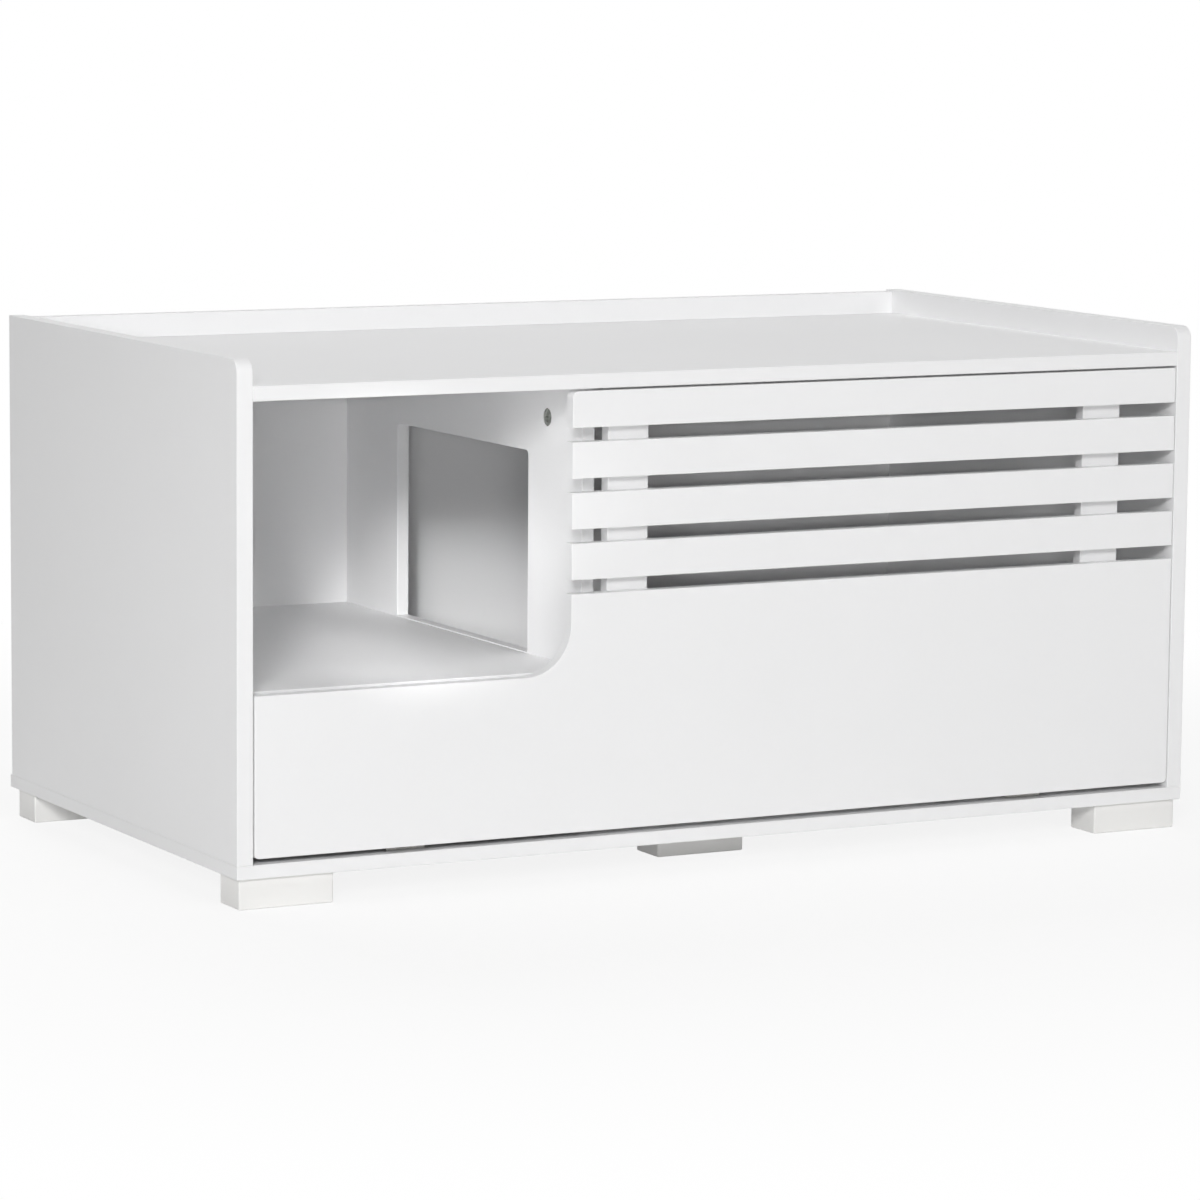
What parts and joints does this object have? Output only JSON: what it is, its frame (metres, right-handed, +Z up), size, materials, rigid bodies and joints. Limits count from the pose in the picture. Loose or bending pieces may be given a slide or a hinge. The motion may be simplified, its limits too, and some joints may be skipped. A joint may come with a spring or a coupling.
{
  "type": "cat cabinet",
  "caption": "White free-standing cat cabinet: open raised entry bay, divider with a cat passage, litter chamber behind a slatted L-shaped drop-down front, lipped top, block feet.",
  "frame": {"origin": "on the floor under the middle of the cabinet", "axes": "+X to the right as seen from the front, +Y from the front to the back, +Z up; the front faces -Y"},
  "size_m": [0.96, 0.524, 0.469],
  "materials": {
    "carcass_board": "white melamine-faced board, satin",
    "door_board": "white painted fibreboard, satin",
    "batten_board": "white painted fibreboard, satin",
    "foot_block": "white painted block, satin",
    "cam_zinc": "die-cast zinc, dull grey",
    "bolt_steel": "zinc-plated steel",
    "dowel_beech": "plain beech",
    "screw_steel": "zinc-plated steel",
    "hinge_steel": "nickel-plated steel",
    "catch_plastic": "white moulded plastic",
    "magnet_ferrite": "dark ferrite",
    "strike_steel": "zinc-plated steel"
  },
  "bodies": {
    "cabinet": {"left_side_panel": "carcass_board", "right_side_panel": "carcass_board", "bottom_panel": "carcass_board", "top_panel": "carcass_board", "back_panel": "carcass_board", "divider_panel": "carcass_board", "raised_floor": "carcass_board", "foot_front_left": "foot_block", "foot_front_middle": "foot_block", "foot_front_right": "foot_block", "foot_rear_left": "foot_block", "foot_rear_middle": "foot_block", "foot_rear_right": "foot_block", "cam_locks": "cam_zinc", "cam_bolts": "bolt_steel", "wood_dowels": "dowel_beech", "base_screws": "screw_steel", "foot_screws": "screw_steel", "hinge_base_screws": "screw_steel", "catch_screws": "screw_steel", "left_hinge_base": "hinge_steel", "right_hinge_base": "hinge_steel", "left_catch_case": "catch_plastic", "right_catch_case": "catch_plastic", "left_catch_magnet": "magnet_ferrite", "right_catch_magnet": "magnet_ferrite"},
    "flap_door": {"door_panel": "door_board", "slat_1": "door_board", "slat_2": "door_board", "slat_3": "door_board", "slat_4": "door_board", "left_batten": "batten_board", "right_batten": "batten_board", "batten_screws": "screw_steel", "left_hinge_leaf": "hinge_steel", "right_hinge_leaf": "hinge_steel", "hinge_leaf_screws": "screw_steel", "left_hinge_pin": "hinge_steel", "right_hinge_pin": "hinge_steel", "left_strike_plate": "strike_steel", "right_strike_plate": "strike_steel", "strike_screws": "screw_steel"}
  },
  "joints": [
    {"name": "flap_hinge", "type": "hinge", "parent": "cabinet", "child": "flap_door", "pos_m": [0, -0.2555, 0.05], "axis": [1, 0, 0], "range_deg": [0, 96]}
  ]
}
